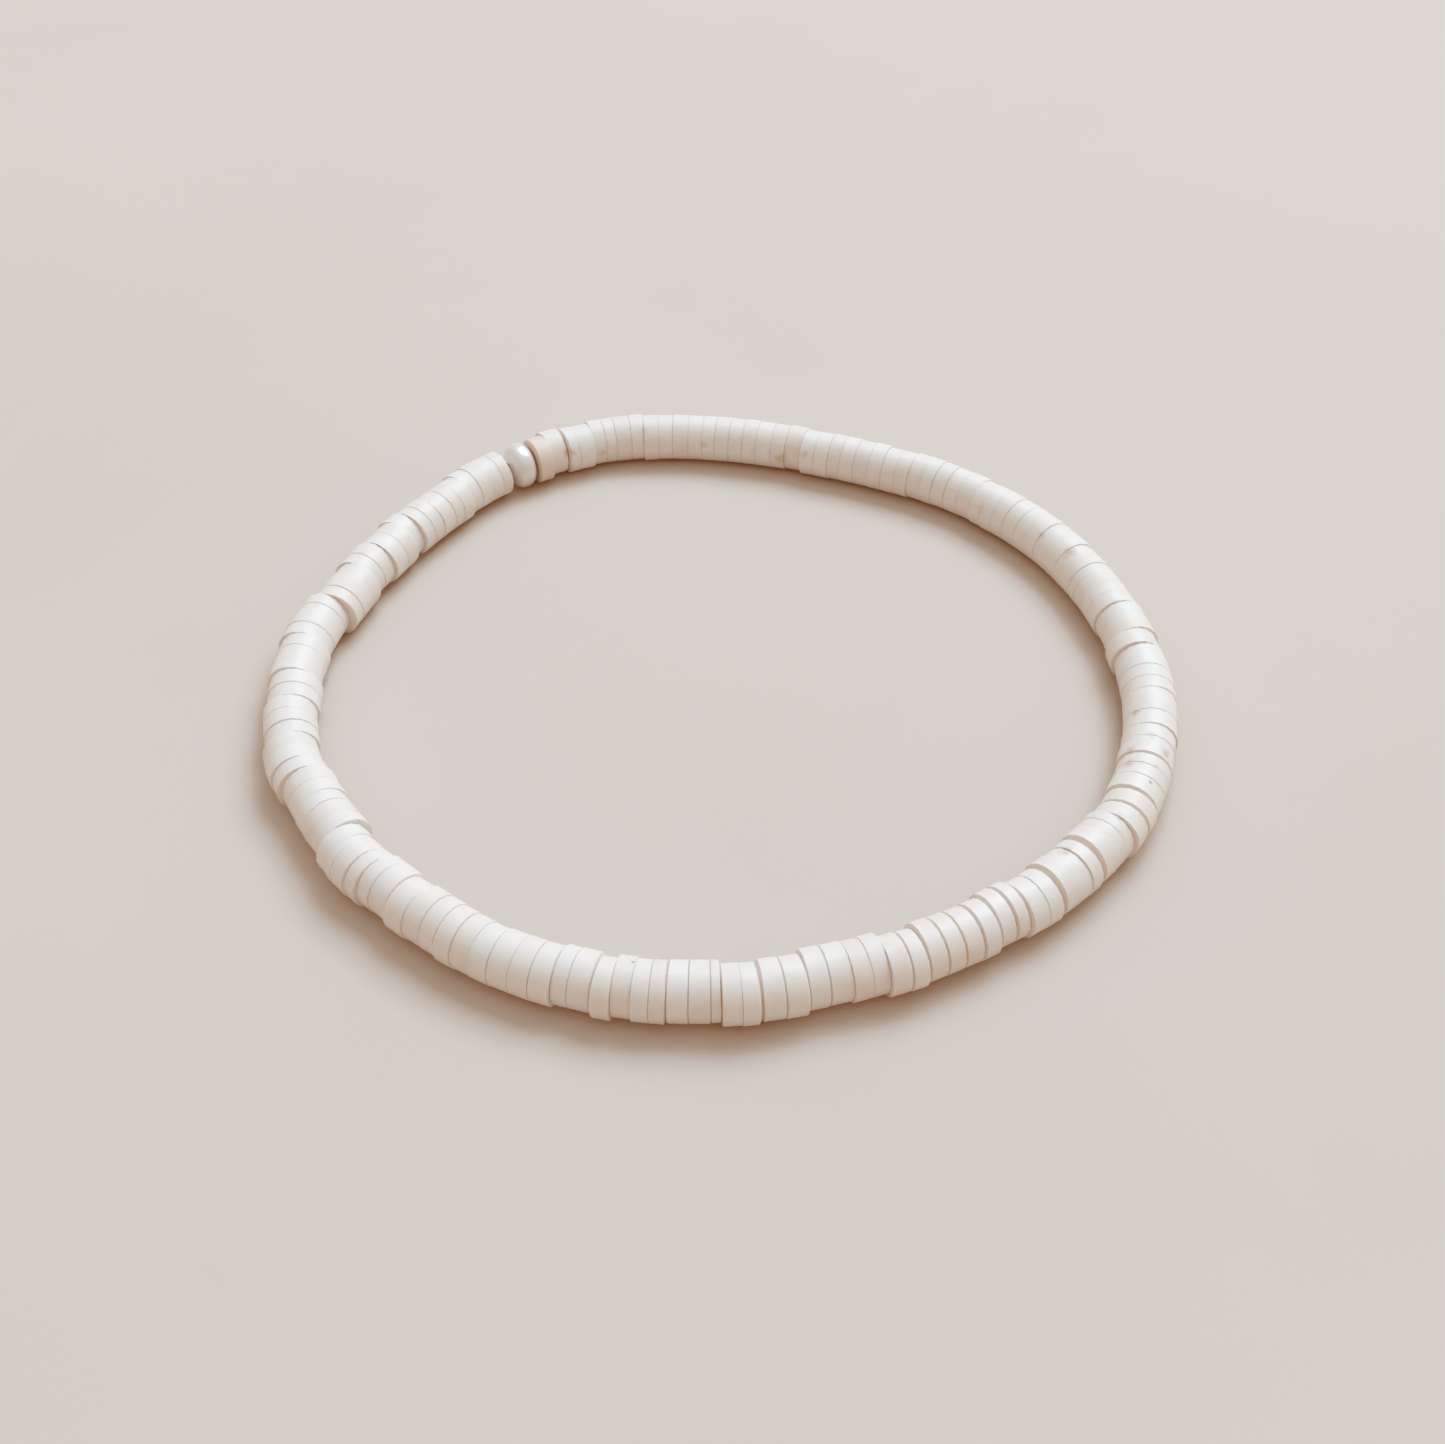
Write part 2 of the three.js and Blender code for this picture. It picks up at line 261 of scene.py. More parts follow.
class KnotBeadSettings(bpy.types.PropertyGroup):
    """Size and colours of the pearly bead over the knot"""

    diameter: FloatProperty(
        name="Bead diameter", description="Diameter of the pearly bead",
        default=4 * MM, min=2 * MM, max=8 * MM, subtype="DISTANCE", unit="LENGTH", precision=5)
    length: FloatProperty(
        name="Bead length", description="Length of the pearly bead along the cord",
        default=2.4 * MM, min=1 * MM, max=8 * MM, subtype="DISTANCE", unit="LENGTH", precision=5)
    around: IntProperty(
        name="Corners", description="Corners round the bead", default=48, min=12, max=96)
    pearl: FloatVectorProperty(
        name="Pearl", description="Colour of the bead seen straight on",
        default=(0.8, 0.78, 0.77), min=0, max=1, size=3, subtype="COLOR")
    # Painted sheen: the lighter colour that the bead is painted with towards its outline
    painted_sheen: FloatVectorProperty(
        name="Lustre", description="Colour of the bead towards its outline",
        default=(0.9, 0.87, 0.85), min=0, max=1, size=3, subtype="COLOR")


class StageSettings(bpy.types.PropertyGroup):
    """The surface, the light and the backdrop"""

    surface: FloatVectorProperty(
        name="Surface", description="Colour of the surface that the bracelet lies on",
        default=(0.68, 0.62, 0.565), min=0, max=1, size=3, subtype="COLOR")
    window_power: FloatProperty(
        name="Main light", description="Power of the large soft light behind and to the right",
        default=20.5, min=0, max=500, unit="POWER")
    window_colour: FloatVectorProperty(
        name="Main light colour", description="Colour of the main light",
        default=(0.76, 0.89, 1), min=0, max=1, size=3, subtype="COLOR")
    room_strength: FloatProperty(
        name="Room light", description="Strength of the light from all round",
        default=0.64, min=0, max=5)
    ceiling_colour: FloatVectorProperty(
        name="Ceiling colour", description="Colour of the room light from above",
        default=(0.97, 0.97, 0.97), min=0, max=1, size=3, subtype="COLOR")
    wall_colour: FloatVectorProperty(
        name="Wall colour", description="Colour of the room light from the sides",
        default=(1, 0.76, 0.56), min=0, max=1, size=3, subtype="COLOR")
    backdrop_colour: FloatVectorProperty(
        name="Backdrop colour", description="Colour that the camera sees beyond the surface",
        default=(0.95, 0.87, 0.81), min=0, max=1, size=3, subtype="COLOR")


# The string

class LoopLine:
    """The line of the cord: a circle half a disc outside the wrist opening, whose radius swells by
    the sum of share times cosine of swells times the angle from the swell's bearing."""

    def __init__(self, wrist_opening, disc_diameter):
        self.radius = (wrist_opening + disc_diameter) / 2
        self.shares = np.linspace(0, 1, LINE_STEPS + 1)
        points = self.point(self.shares)
        steps = np.linalg.norm(np.diff(points, axis=0), axis=1)
        self.distances = np.concatenate(([0], np.cumsum(steps)))
        self.length = self.distances[-1]

    def polar(self, share):
        """Angle, radius and the radius's slope over the angle at a share of the way round."""
        angle = math.radians(KNOT_BEAD_BEARING) + TURN * np.asarray(share)
        radius = np.full(angle.shape, self.radius)
        slope = np.zeros(angle.shape)
        for swells, swell_share, bearing in LOOP_SWELLS:
            phase = swells * (angle - math.radians(bearing))
            radius += swell_share * self.radius * np.cos(phase)
            slope -= swell_share * self.radius * swells * np.sin(phase)
        return angle, radius, slope

    def point(self, share):
        """The point at a share of the way round: radius times cosine and sine of the angle."""
        angle, radius, _ = self.polar(share)
        return np.stack((radius * np.cos(angle), radius * np.sin(angle)), axis=-1)

    def at(self, distance):
        """The point at a distance along the line."""
        return self.point(np.interp(distance, self.distances, self.shares))

    def heading(self, distance):
        """Direction of travel at a distance along the line: the angle plus the turn whose tangent
        is the radius over its slope."""
        angle, radius, slope = self.polar(np.interp(distance, self.distances, self.shares))
        return angle + np.arctan2(radius, slope)


def fixed_series(value=421, factor=16807, length=2147483647):
    """Numbers from -1 to 1 in a fixed order: each is the one before times a factor, less whole
    lengths."""
    while True:
        value = value * factor % length
        yield 2 * value / length - 1


def string_discs(settings, bead_length):
    """Strings the chart's discs one by one from the knot bead, each as close to the one before as
    the rims that lean together let it, and shares out the room that is left. Returns arrays of
    centre, heading, thickness, diameter and number of the run."""
    line = LoopLine(settings.wrist_opening, settings.diameter)
    series = fixed_series()
    chart = [(grade, out, turn, run)
             for run, (grades, out, turn) in enumerate(DISC_RUNS) for grade in grades]
    start = bead_length / 2 + KNOT_BEAD_END_CLEARANCE
    end = start
    heading_before = None
    strung = []
    while True:
        grade, out, turn, run = chart[len(strung) % len(chart)]
        thickness = settings.thickness * DISC_GRADES[grade] * (1 + DISC_SCATTER * next(series))
        diameter = settings.diameter * (1 + DISC_SCATTER * next(series))
        turned = math.radians(turn + TURN_SCATTER * next(series))
        heading = float(line.heading(end + thickness / 2)) + turned
        gap = 0
        if heading_before is not None:
            gap = SEAM_CLEARANCE + diameter / 2 * abs(heading - heading_before)
        if end + gap + thickness > line.length - start:
            break
        strung.append((end + gap + thickness / 2, thickness, diameter, turned, out, run))
        end += gap + thickness
        heading_before = heading
    middle, thickness, diameter, turned, out, run = np.array(strung).T
    middle = middle + (line.length - start - end) * np.arange(len(middle)) / (len(middle) - 1)
    heading = line.heading(middle) + turned
    _, outward = directions(heading)
    centre = line.at(middle) + outward * (out * settings.diameter)[:, None]
    centre -= outline_middle(centre, heading, thickness, diameter)
    slid = np.array([SLID_DISCS.get(number, 0) for number in range(len(centre))]) * MM
    centre += outward * slid[:, None]
    return {"centre": centre, "heading": heading, "thickness": thickness, "diameter": diameter,
            "run": run.astype(int)}


def outline_middle(centre, heading, thickness, diameter):
    """The middle of the box round the solid discs, which are polygons with a facet below."""
    along, outward = directions(heading)
    angle = TURN * (np.arange(SOLID_SIDES) + 0.5) / SOLID_SIDES - math.pi / 2
    reach = diameter[:, None] / 2 / math.cos(math.pi / SOLID_SIDES) * np.cos(angle)
    rims = centre[:, None, None] + outward[:, None, None] * reach[:, :, None, None]
    faces = along[:, None, None] * (thickness[:, None] / 2 * np.array((-1, 1)))[:, None, :, None]
    corners = (rims + faces).reshape(-1, 2)
    return (corners.min(axis=0) + corners.max(axis=0)) / 2


def directions(heading):
    """Level unit arrows along the cord and out of the loop."""
    along = np.stack((np.cos(heading), np.sin(heading)), axis=-1)
    outward = np.stack((np.sin(heading), -np.cos(heading)), axis=-1)
    return along, outward


def seat_faces(discs, settings):
    """Where the two faces of each disc lie. The clay gives a little where discs press on each
    other, so two facing faces come nearer and lean together: each stands half a seam from the
    middle between the discs, moved along the cord where the seam has moved, and turned by the share
    of the lean that is left. Returns for the entry and the exit face the place on the disc's axis
    and the slope towards the outside."""
    count = len(discs["heading"])
    nearest = np.arange(count - 1)
    heading = discs["heading"]
    along, _ = directions(heading)
    half = discs["thickness"][:, None] / 2 * along
    exit_middle = (discs["centre"] + half)[nearest]
    entry_middle = (discs["centre"] - half)[nearest + 1]
    lean = heading[nearest + 1] - heading[nearest]
    between = heading[nearest] + lean / 2
    across, _ = directions(between)
    meeting = (exit_middle + entry_middle) / 2
    moved = seam_moves(count)
    meeting += across * moved[1:count, None]
    same_run = discs["run"][nearest] == discs["run"][nearest + 1]
    lean_left = lean * np.where(same_run, LEAN_IN_RUN, LEAN_BETWEEN_RUNS)
    places = {}
    for side, sign, disc, free, free_seam in (
            ("exit", -1, nearest, count - 1, count), ("entry", 1, nearest + 1, 0, 0)):
        facing = between + sign * lean_left / 2
        tilt = facing - heading[disc]
        point = meeting + across * (sign * settings.seam / 2) - discs["centre"][disc]
        normal, _ = directions(facing)
        place = np.zeros(count)
        slope = np.zeros(count)
        place[disc] = np.sum(normal * point, axis=1) / np.cos(tilt)
        slope[disc] = np.tan(tilt)
        place[free] = -sign * discs["thickness"][free] / 2 + moved[free_seam]
        places[side] = (place, slope)
    return places


def seam_moves(count):
    """How far each seam has moved along the cord, from seam -1 to the last."""
    moved = np.zeros(count + 1)
    for first, last, shift in MOVED_SEAMS:
        moved[first + 1:last + 2] = shift * MM
    return moved


def disc_surfaces(discs, settings, rng):
    """The discs as rings of points, their normals and how much painted shade each point gets where it
    lies on a face along a groove. Round each disc run eight rings: hole, foot of the first groove, its
    lip, rim, rim, lip and foot of the second groove, hole. A point lies at radius times cosine of its
    angle out of the loop and radius times sine up, and along the axis where its face is there, the
    rims half a groove inwards. The radius wavers a little round the disc, which hand cutting leaves."""
    count = len(discs["heading"])
    around = settings.around
    angle = TURN * np.arange(around) / around
    along, outward = directions(discs["heading"])
    faces = seat_faces(discs, settings)
    before, after = grooves(count, settings, rng)

    waver = np.zeros((count, around))
    for waves, share in RIM_WAVES:
        phase = rng.uniform(0, TURN, (count, 1))
        waver += share * rng.uniform(LEAST_WAVE, 1, (count, 1)) * (np.cos(waves * angle - phase) - 1)
    radius = discs["diameter"][:, None] / 2 * (1 + waver)
    bore = np.full_like(radius, settings.bore / 2)
    foot_before = radius - before[:, None] * GROOVE_DEPTH
    foot_after = radius - after[:, None] * GROOVE_DEPTH
    lip = radius - ARRIS
    rings = np.stack((bore, foot_before, lip, radius, radius, lip, foot_after, bore), axis=1)
    sideways = rings * np.cos(angle)
    upward = rings * np.sin(angle)
    nod = np.radians(rng.normal(0, NOD_SCATTER, (count, 1, 1)))
    at_lip = np.array((0, 0, 0.5, 0.5))[None, :, None]
    arris = np.array((0, 0, 0, ARRIS))[None, :, None]
    entry_place, entry_slope = (value[:, None, None] for value in faces["entry"])
    exit_place, exit_slope = (value[:, None, None] for value in faces["exit"])
    depth = np.concatenate((
        entry_place + entry_slope * sideways[:, :4] + before[:, None, None] * at_lip + arris,
        exit_place + exit_slope * sideways[:, 4:] - after[:, None, None] * at_lip[:, ::-1]
        - arris[:, ::-1]), axis=1) + nod * upward

    lowest = upward.min(axis=(1, 2))
    highest = upward.max(axis=(1, 2))
    spare = np.maximum(0, cad_box[1].z - (highest - lowest))
    lift = spare * rng.uniform(0, LIFT_SHARE, count) - lowest
    points = np.empty((count, 8, around, 3))
    points[..., :2] = (discs["centre"][:, None, None] + outward[:, None, None] * sideways[..., None]
                       + along[:, None, None] * depth[..., None])
    points[..., 2] = upward + lift[:, None, None]

    axis = np.concatenate((along, np.zeros((count, 1))), axis=1)
    radial = np.zeros((count, around, 3))
    radial[..., :2] = outward[:, None] * np.cos(angle)[None, :, None]
    radial[..., 2] = np.sin(angle)
    facing = np.broadcast_to(axis[:, None], radial.shape)
    wall = math.hypot(GROOVE_DEPTH, 0.5)
    aslant = radial * 0.5 / wall
    inner = facing * GROOVE_DEPTH / wall
    normals = np.stack((-facing, aslant - inner, aslant - inner, radial, radial, aslant + inner,
                        aslant + inner, facing), axis=1)
    # Painted shade: the faces along each groove get more of the warm colour the wider the groove is
    end_face = np.zeros((count, 8, around))
    end_face[:, :3] = (LEAST_GROOVE_SHADE + GROOVE_SHADE_FOR_WIDTH * before / MM)[:, None, None]
    end_face[:, 5:] = (LEAST_GROOVE_SHADE + GROOVE_SHADE_FOR_WIDTH * after / MM)[:, None, None]
    return points, normals, np.clip(end_face, 0, 1)


def grooves(count, settings, rng):
    """The width of the groove before and after each disc: the listed width, or a hair's, and twice
    the rounding at the two faces beside the pearly bead."""
    hair = CLOSED_SEAM * rng.uniform(*CLOSED_SEAM_SPAN, count - 1)
    between = [OPEN_SEAMS.get(number, hair[number]) for number in range(count - 1)]
    at_bead = 2 * settings.rounding / MM
    width = np.array((at_bead, *between, at_bead)) * MM
    return width[:-1], width[1:]


def ring_quads(count, rings, around):
    """Four-cornered faces between neighbouring rings of points, the last ring joining the first,
    for a number of separate pieces that are listed one after another."""
    piece, ring, corner = np.meshgrid(
        np.arange(count), np.arange(rings), np.arange(around), indexing="ij")
    next_ring = (ring + 1) % rings
    next_corner = (corner + 1) % around
    base = piece * rings * around
    quads = np.stack((base + ring * around + corner, base + ring * around + next_corner,
                      base + next_ring * around + next_corner, base + next_ring * around + corner),
                     axis=-1)
    return quads.reshape(-1, 4)


def facing_out(points, quads):
    """The faces in the order that makes them point outwards, which the sign of the enclosed volume
    tells: the sum over the faces of corner times the cross product of the next two."""
    first, second, third, fourth = (points[quads[:, corner]] for corner in range(4))
    volume = np.sum(first * np.cross(second, third)) + np.sum(first * np.cross(third, fourth))
    return quads if volume > 0 else quads[:, ::-1]


def make_piece(name, points, quads, normals, material, **values):
    """Puts points in metres and four-cornered faces into a smooth mesh with the given normals and
    one number a point for each named value."""
    mesh = bpy.data.meshes.new(name)
    points = points.reshape(-1, 3)
    mesh.from_pydata(points.tolist(), [], facing_out(points, quads).tolist())
    mesh.polygons.foreach_set("use_smooth", np.ones(len(mesh.polygons), dtype=bool))
    for value_name, numbers in values.items():
        attribute = mesh.attributes.new(value_name, "FLOAT", "POINT")
        attribute.data.foreach_set("value", np.asarray(numbers, dtype=np.float32).ravel())
    mesh.materials.append(material)
    mesh.update()
    mesh.normals_split_custom_set_from_vertices(normals.reshape(-1, 3).tolist())
    piece = bpy.data.objects.new(name, mesh)
    bpy.context.scene.collection.objects.link(piece)
    return piece


# Materials

def add_node(tree, kind, inputs=None, **settings):
    """One shader node with its settings, and for each named input a value or a socket to link."""
    node = tree.nodes.new(kind)
    for key, value in settings.items():
        setattr(node, key, value)
    for key, value in (inputs or {}).items():
        if isinstance(value, bpy.types.NodeSocket):
            tree.links.new(value, node.inputs[key])
        else:
            node.inputs[key].default_value = value
    return node


def new_group(name, inputs, outputs):
    """A shader node group with named inputs and outputs, and its two end nodes."""
    tree = bpy.data.node_groups.new(name, "ShaderNodeTree")
    for in_out, sockets in (("INPUT", inputs), ("OUTPUT", outputs)):
        for socket_name, kind, *value in sockets:
            socket = tree.interface.new_socket(socket_name, in_out=in_out, socket_type=kind)
            if value:
                socket.default_value = value[0]
    return tree, tree.nodes.new("NodeGroupInput").outputs, tree.nodes.new("NodeGroupOutput").inputs


def mottle_group():
    """Soft patches of two colours, from clouded noise whose middle is stretched into a mask."""
    found = bpy.data.node_groups.get("Mottle")
    if found:
        return found
    tree, given, out = new_group(
        "Mottle",
        (("Vector", "NodeSocketVector"), ("Scale", "NodeSocketFloat", 500.0),
         ("From", "NodeSocketFloat", 0.45), ("To", "NodeSocketFloat", 0.7),
         ("Plain", "NodeSocketColor"), ("Patch", "NodeSocketColor")),
        (("Color", "NodeSocketColor"), ("Mask", "NodeSocketFloat")))
    clouds = add_node(tree, "ShaderNodeTexNoise", {
        "Vector": given["Vector"], "Scale": given["Scale"], "Detail": 4.0, "Roughness": 0.6})
    mask = add_node(tree, "ShaderNodeMapRange", {
        "Value": clouds.outputs["Fac"], "From Min": given["From"], "From Max": given["To"]},
        interpolation_type="SMOOTHSTEP")
    mixed = add_node(tree, "ShaderNodeMix", {
        "Factor": mask.outputs["Result"]}, data_type="RGBA")
    tree.links.new(given["Plain"], mixed.inputs[6])
    tree.links.new(given["Patch"], mixed.inputs[7])
    tree.links.new(mixed.outputs[2], out["Color"])
    tree.links.new(mask.outputs["Result"], out["Mask"])
    return tree


def grain_group():
    """The height of fine grain: noise at one scale and, at a lower height, at three times it."""
    found = bpy.data.node_groups.get("Fine grain")
    if found:
        return found
    tree, given, out = new_group(
        "Fine grain",
        (("Vector", "NodeSocketVector"), ("Scale", "NodeSocketFloat", 5000.0)),
        (("Height", "NodeSocketFloat"),))
    coarse = add_node(tree, "ShaderNodeTexNoise", {
        "Vector": given["Vector"], "Scale": given["Scale"], "Detail": 3.0, "Roughness": 0.55})
    finer_scale = add_node(tree, "ShaderNodeMath", {0: given["Scale"], 1: 3.1}, operation="MULTIPLY")
    fine = add_node(tree, "ShaderNodeTexNoise", {
        "Vector": given["Vector"], "Scale": finer_scale.outputs[0], "Detail": 2.0})
    height = add_node(tree, "ShaderNodeMath", {
        0: fine.outputs["Fac"], 1: 0.35, 2: coarse.outputs["Fac"]}, operation="MULTIPLY_ADD")
    tree.links.new(height.outputs[0], out["Height"])
    return tree


def ragged_group():
    """The place moved a little by noise, which makes outlines that are drawn on it ragged."""
    found = bpy.data.node_groups.get("Ragged place")
    if found:
        return found
    tree, given, out = new_group(
        "Ragged place",
        (("Vector", "NodeSocketVector"), ("Scale", "NodeSocketFloat", 9000.0),
         ("Reach", "NodeSocketFloat", 0.00016)),
        (("Vector", "NodeSocketVector"),))
    ragged = add_node(tree, "ShaderNodeTexNoise", {
        "Vector": given["Vector"], "Scale": given["Scale"], "Detail": 2.0})
    shift = add_node(tree, "ShaderNodeVectorMath", {
        0: ragged.outputs["Color"], 1: (0.5, 0.5, 0.5)}, operation="SUBTRACT")
    small_shift = add_node(tree, "ShaderNodeVectorMath", {
        0: shift.outputs[0], "Scale": given["Reach"]}, operation="SCALE")
    place = add_node(tree, "ShaderNodeVectorMath", {
        0: given["Vector"], 1: small_shift.outputs[0]}, operation="ADD")
    tree.links.new(place.outputs[0], out["Vector"])
    return tree


def mark_group():
    """One round mark: full in its middle, fading to nothing at its radius."""
    found = bpy.data.node_groups.get("Mark")
    if found:
        return found
    tree, given, out = new_group(
        "Mark",
        (("Vector", "NodeSocketVector"), ("Place", "NodeSocketVector"),
         ("Radius", "NodeSocketFloat", 0.0005)),
        (("Mask", "NodeSocketFloat"),))
    away = add_node(tree, "ShaderNodeVectorMath", {
        0: given["Vector"], 1: given["Place"]}, operation="DISTANCE")
    mask = add_node(tree, "ShaderNodeMapRange", {
        "Value": away.outputs["Value"], "From Min": given["Radius"], "From Max": 0.0},
        interpolation_type="SMOOTHSTEP")
    tree.links.new(mask.outputs["Result"], out["Mask"])
    return tree


def fleck_group():
    """Sparse small specks: the inside of a few cells' middles."""
    found = bpy.data.node_groups.get("Flecks")
    if found:
        return found
    tree, given, out = new_group(
        "Flecks",
        (("Vector", "NodeSocketVector"), ("Scale", "NodeSocketFloat", 500.0),
         ("Size", "NodeSocketFloat", 0.08), ("Share", "NodeSocketFloat", 0.1)),
        (("Mask", "NodeSocketFloat"),))
    cells = add_node(tree, "ShaderNodeTexVoronoi", {
        "Vector": given["Vector"], "Scale": given["Scale"]})
    pick = add_node(tree, "ShaderNodeSeparateColor", {"Color": cells.outputs["Color"]})
    chosen = add_node(tree, "ShaderNodeMath", {
        0: pick.outputs["Red"], 1: given["Share"]}, operation="LESS_THAN")
    near = add_node(tree, "ShaderNodeMapRange", {
        "Value": cells.outputs["Distance"], "From Min": given["Size"], "From Max": 0.0},
        interpolation_type="SMOOTHSTEP")
    mask = add_node(tree, "ShaderNodeMath", {
        0: chosen.outputs[0], 1: near.outputs["Result"]}, operation="MULTIPLY")
    tree.links.new(mask.outputs[0], out["Mask"])
    return tree


def new_material(name):
    """An empty material, its object coordinates and its surface shader."""
    material = bpy.data.materials.new(name)
    material.use_nodes = True
    tree = material.node_tree
    tree.nodes.clear()
    place = tree.nodes.new("ShaderNodeTexCoord").outputs["Object"]
    shader = tree.nodes.new("ShaderNodeBsdfPrincipled")
    end = tree.nodes.new("ShaderNodeOutputMaterial")
    tree.links.new(shader.outputs["BSDF"], end.inputs["Surface"])
    return material, tree, place, shader


def mix_colour(tree, factor, first, second, blend="MIX"):
    """Two colours mixed by a factor; each may be a value or a socket."""
    node = add_node(tree, "ShaderNodeMix", {0: factor}, data_type="RGBA", blend_type=blend)
    for index, value in ((6, first), (7, second)):
        if isinstance(value, bpy.types.NodeSocket):
            tree.links.new(value, node.inputs[index])
        else:
            node.inputs[index].default_value = (*value, 1)
    return node.outputs[2]


def roughen(tree, shader, mask, low, high):
    """Roughness that goes from low to high where the mask goes from 0 to 1."""
    rough = add_node(tree, "ShaderNodeMapRange", {"Value": mask, "To Min": low, "To Max": high})
    tree.links.new(rough.outputs["Result"], shader.inputs["Roughness"])


def add_grain(tree, shader, place, scale, strength, distance):
    """Fine grain as a bump: its scale, how much of it shows and how high it stands."""
    grain = add_node(tree, "ShaderNodeGroup", {"Vector": place, "Scale": scale},
                     node_tree=grain_group())
    bump = add_node(tree, "ShaderNodeBump", {
        "Height": grain.outputs["Height"], "Strength": strength, "Distance": distance})
    tree.links.new(bump.outputs["Normal"], shader.inputs["Normal"])


def clay_material(settings):
    """Matt baked clay: warm patches, a tone of its own for each disc and painted shade on the last one,
    faces in the grooves painted darker and warmer as shade, sparse specks, the listed marks and a fine
    grain."""
    material, tree, place, shader = new_material("Heishi clay")
    clean = (*settings.clay, 1)
    slightly_warm = (*(np.array(settings.clay) * 0.7 + np.array(settings.warm_clay_and_shade) * 0.3), 1)
    patches = add_node(tree, "ShaderNodeGroup", {
        "Vector": place, "Scale": 420.0, "From": 0.45, "To": 0.78, "Plain": clean,
        "Patch": slightly_warm}, node_tree=mottle_group())

    # Each disc's own tone; on the last disc it is painted shade
    tone = add_node(tree, "ShaderNodeAttribute", attribute_name="tone").outputs["Fac"]
    toned = mix_colour(tree, tone, patches.outputs["Color"], settings.warm_clay_and_shade)

    # Painted shade: the faces in the grooves are mixed towards the warm colour, the more the wider the
    # groove
    face = add_node(tree, "ShaderNodeAttribute", attribute_name="end_face").outputs["Fac"]
    groove_shade_share = add_node(tree, "ShaderNodeMath", {0: face, 1: 0.5}, operation="MULTIPLY")
    groove_shaded = mix_colour(tree, groove_shade_share.outputs[0], toned, settings.warm_clay_and_shade)

    ragged = add_node(tree, "ShaderNodeGroup", {"Vector": place}, node_tree=ragged_group())
    wide_ragged = add_node(tree, "ShaderNodeGroup", {
        "Vector": place, "Scale": 1500.0, "Reach": 1 * MM}, node_tree=ragged_group())
    specks = add_node(tree, "ShaderNodeGroup", {
        "Vector": ragged.outputs["Vector"], "Scale": 330.0, "Size": 0.05, "Share": 0.05},
        node_tree=fleck_group())
    marked = {"fleck": specks.outputs["Mask"]}
    for kind, middle, radius in MARKS:
        near = ragged if kind == "fleck" else wide_ragged
        mask = add_node(tree, "ShaderNodeGroup", {
            "Vector": near.outputs["Vector"], "Place": [value * MM for value in middle],
            "Radius": radius * MM}, node_tree=mark_group()).outputs["Mask"]
        if kind in marked:
            mask = add_node(tree, "ShaderNodeMath", {0: marked[kind], 1: mask},
                            operation="MAXIMUM").outputs[0]
        marked[kind] = mask
    coloured = groove_shaded
    for kind, mask in marked.items():
        cover = add_node(tree, "ShaderNodeMath", {0: mask, 1: MARK_STRENGTHS[kind]},
                         operation="MULTIPLY")
        coloured = mix_colour(tree, cover.outputs[0], coloured, getattr(settings, kind))
    tree.links.new(coloured, shader.inputs["Base Color"])

    roughen(tree, shader, patches.outputs["Mask"], 0.44, 0.6)
    add_grain(tree, shader, place, 4200.0, 0.35, 0.02 * MM)
    shader.inputs["Subsurface Weight"].default_value = 0.3
    shader.inputs["Subsurface Radius"].default_value = (1, 0.6, 0.42)
    shader.inputs["Subsurface Scale"].default_value = 0.4 * MM
    return material


def elastic_material(settings):
    """Clear elastic that has dulled: warm, a little streaky and half glossy."""
    material, tree, place, shader = new_material("Elastic cord")
    darker = [value * 0.75 for value in settings.colour]
    streaks = add_node(tree, "ShaderNodeGroup", {
        "Vector": place, "Scale": 2600.0, "From": 0.4, "To": 0.65,
        "Plain": (*settings.colour, 1), "Patch": (*darker, 1)}, node_tree=mottle_group())
    tree.links.new(streaks.outputs["Color"], shader.inputs["Base Color"])
    roughen(tree, shader, streaks.outputs["Mask"], 0.3, 0.45)
    add_grain(tree, shader, place, 6000.0, 0.3, 0.02 * MM)
    return material


def pearl_material(settings):
    """Pearl glaze: greyer straight on, with a lighter colour painted towards the outline as sheen,
    faint clouds, a clear coat.
    """
    material, tree, place, shader = new_material("Pearl glaze")
    # Painted sheen: the colour turns lighter towards the outline, by the angle to the camera
    weight = add_node(tree, "ShaderNodeLayerWeight", {"Blend": 0.35})
    sheen = mix_colour(tree, weight.outputs["Facing"], settings.pearl, settings.painted_sheen)
    clouds = add_node(tree, "ShaderNodeGroup", {
        "Vector": place, "Scale": 900.0, "From": 0.35, "To": 0.7,
        "Plain": (1, 1, 1, 1), "Patch": (0.965, 0.955, 0.955, 1)}, node_tree=mottle_group())
    tree.links.new(mix_colour(tree, 1.0, sheen, clouds.outputs["Color"], "MULTIPLY"),
                   shader.inputs["Base Color"])
    roughen(tree, shader, clouds.outputs["Mask"], 0.3, 0.36)
    add_grain(tree, shader, place, 2500.0, 0.04, 0.01 * MM)
    shader.inputs["Coat Weight"].default_value = 1
    shader.inputs["Coat Roughness"].default_value = 0.24
    shader.inputs["Coat IOR"].default_value = 1.8
    shader.inputs["Specular IOR Level"].default_value = 0.9
    shader.inputs["Metallic"].default_value = 0.2
    shader.inputs["Subsurface Weight"].default_value = 0.35
    shader.inputs["Subsurface Radius"].default_value = (1, 0.85, 0.75)
    shader.inputs["Subsurface Scale"].default_value = 0.7 * MM
    return material


def surface_material(settings):
    """The plain pale surface: even, with the faintest change of tone."""
    material, tree, place, shader = new_material("Pale surface")
    deeper = [value * 0.97 for value in settings.surface]
    tones = add_node(tree, "ShaderNodeGroup", {
        "Vector": place, "Scale": 14.0, "From": 0.3, "To": 0.75,
        "Plain": (*settings.surface, 1), "Patch": (*deeper, 1)}, node_tree=mottle_group())
    tree.links.new(tones.outputs["Color"], shader.inputs["Base Color"])
    add_grain(tree, shader, place, 3000.0, 0.15, 0.03 * MM)
    shader.inputs["Roughness"].default_value = 0.9
    shader.inputs["Specular IOR Level"].default_value = 0.2
    return material


